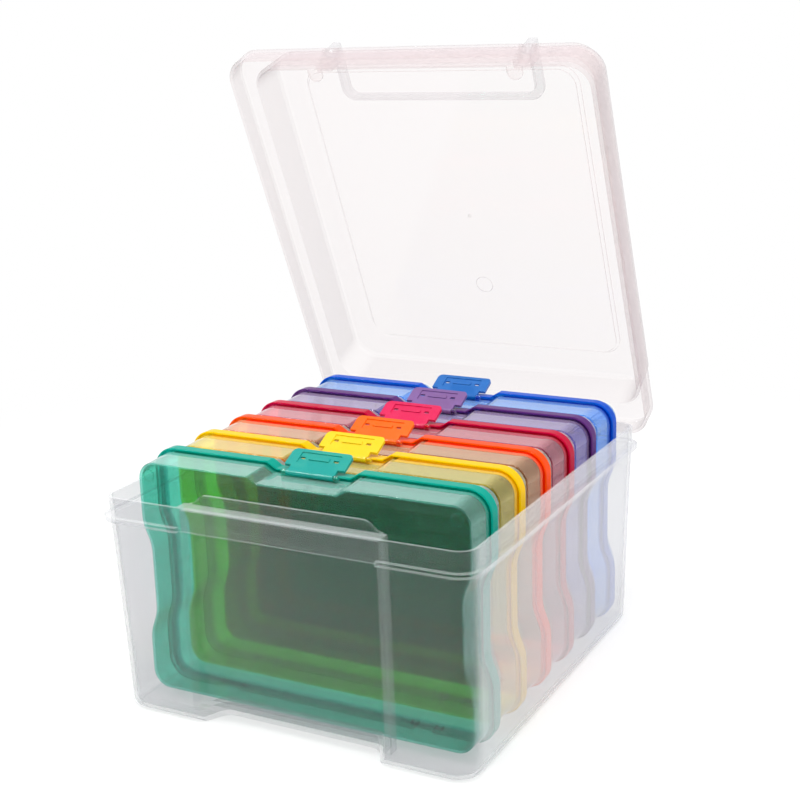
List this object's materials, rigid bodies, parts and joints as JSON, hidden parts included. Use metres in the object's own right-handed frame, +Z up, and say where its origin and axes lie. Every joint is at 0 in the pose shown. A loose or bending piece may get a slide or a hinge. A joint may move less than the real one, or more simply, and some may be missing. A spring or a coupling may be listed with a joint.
{
  "type": "photo keeper case",
  "caption": "Clear carry box with a hinged lid and folding handle, holding a row of tinted clamshell photo cases with flip latches.",
  "frame": {"origin": "middle of the flat underside of the box", "axes": "+X to the right along the front, +Y to the back where the lid is hinged, +Z up"},
  "size_m": [0.226, 0.2784, 0.3489],
  "materials": {
    "clear_box": "lightly frosted clear",
    "clear_handle": "clear",
    "teal_clear": "clear tinted",
    "teal_lever_clear": "clear tinted",
    "yellow_clear": "clear tinted",
    "yellow_lever_clear": "clear tinted",
    "orange_clear": "clear tinted",
    "orange_lever_clear": "clear tinted",
    "red_clear": "clear tinted",
    "red_lever_clear": "clear tinted",
    "purple_clear": "clear tinted",
    "purple_lever_clear": "clear tinted",
    "blue_clear": "clear tinted",
    "blue_lever_clear": "clear tinted"
  },
  "bodies": {
    "box": {"tub": "clear_box"},
    "lid_body": {"lid": "clear_box"},
    "handle_body": {"carry_handle": "clear_handle"},
    "teal_case": {"teal_front_shell": "teal_clear", "teal_back_shell": "teal_clear"},
    "teal_lever": {"teal_latch": "teal_lever_clear"},
    "yellow_case": {"yellow_front_shell": "yellow_clear", "yellow_back_shell": "yellow_clear"},
    "yellow_lever": {"yellow_latch": "yellow_lever_clear"},
    "orange_case": {"orange_front_shell": "orange_clear", "orange_back_shell": "orange_clear"},
    "orange_lever": {"orange_latch": "orange_lever_clear"},
    "red_case": {"red_front_shell": "red_clear", "red_back_shell": "red_clear"},
    "red_lever": {"red_latch": "red_lever_clear"},
    "purple_case": {"purple_front_shell": "purple_clear", "purple_back_shell": "purple_clear"},
    "purple_lever": {"purple_latch": "purple_lever_clear"},
    "blue_case": {"blue_front_shell": "blue_clear", "blue_back_shell": "blue_clear"},
    "blue_lever": {"blue_latch": "blue_lever_clear"}
  },
  "joints": [
    {"name": "lid_hinge", "type": "hinge", "parent": "box", "child": "lid_body", "pos_m": [0, 0.12901, 0.1102], "axis": [-1, 0, 0], "range_deg": [-66, 40]},
    {"name": "handle_pivot", "type": "hinge", "parent": "lid_body", "child": "handle_body", "pos_m": [0, 0.06242, 0.34284], "axis": [1, 0, 0], "range_deg": [0, 180]},
    {"name": "teal_case_lift", "type": "slide", "parent": "box", "child": "teal_case", "axis": [0, 0, 1], "range_m": [0, 0.135]},
    {"name": "teal_latch_hinge", "type": "hinge", "parent": "teal_case", "child": "teal_lever", "pos_m": [0, -0.08197, 0.1355], "axis": [1, 0, 0], "range_deg": [0, 95]},
    {"name": "yellow_case_lift", "type": "slide", "parent": "box", "child": "yellow_case", "axis": [0, 0, 1], "range_m": [0, 0.135]},
    {"name": "yellow_latch_hinge", "type": "hinge", "parent": "yellow_case", "child": "yellow_lever", "pos_m": [0, -0.04733, 0.1355], "axis": [1, 0, 0], "range_deg": [0, 95]},
    {"name": "orange_case_lift", "type": "slide", "parent": "box", "child": "orange_case", "axis": [0, 0, 1], "range_m": [0, 0.135]},
    {"name": "orange_latch_hinge", "type": "hinge", "parent": "orange_case", "child": "orange_lever", "pos_m": [0, -0.01268, 0.1355], "axis": [1, 0, 0], "range_deg": [0, 95]},
    {"name": "red_case_lift", "type": "slide", "parent": "box", "child": "red_case", "axis": [0, 0, 1], "range_m": [0, 0.135]},
    {"name": "red_latch_hinge", "type": "hinge", "parent": "red_case", "child": "red_lever", "pos_m": [0, 0.02197, 0.1355], "axis": [1, 0, 0], "range_deg": [0, 95]},
    {"name": "purple_case_lift", "type": "slide", "parent": "box", "child": "purple_case", "axis": [0, 0, 1], "range_m": [0, 0.135]},
    {"name": "purple_latch_hinge", "type": "hinge", "parent": "purple_case", "child": "purple_lever", "pos_m": [0, 0.05662, 0.1355], "axis": [1, 0, 0], "range_deg": [0, 95]},
    {"name": "blue_case_lift", "type": "slide", "parent": "box", "child": "blue_case", "axis": [0, 0, 1], "range_m": [0, 0.07]},
    {"name": "blue_latch_hinge", "type": "hinge", "parent": "blue_case", "child": "blue_lever", "pos_m": [0, 0.09128, 0.1355], "axis": [1, 0, 0], "range_deg": [0, 95]}
  ]
}
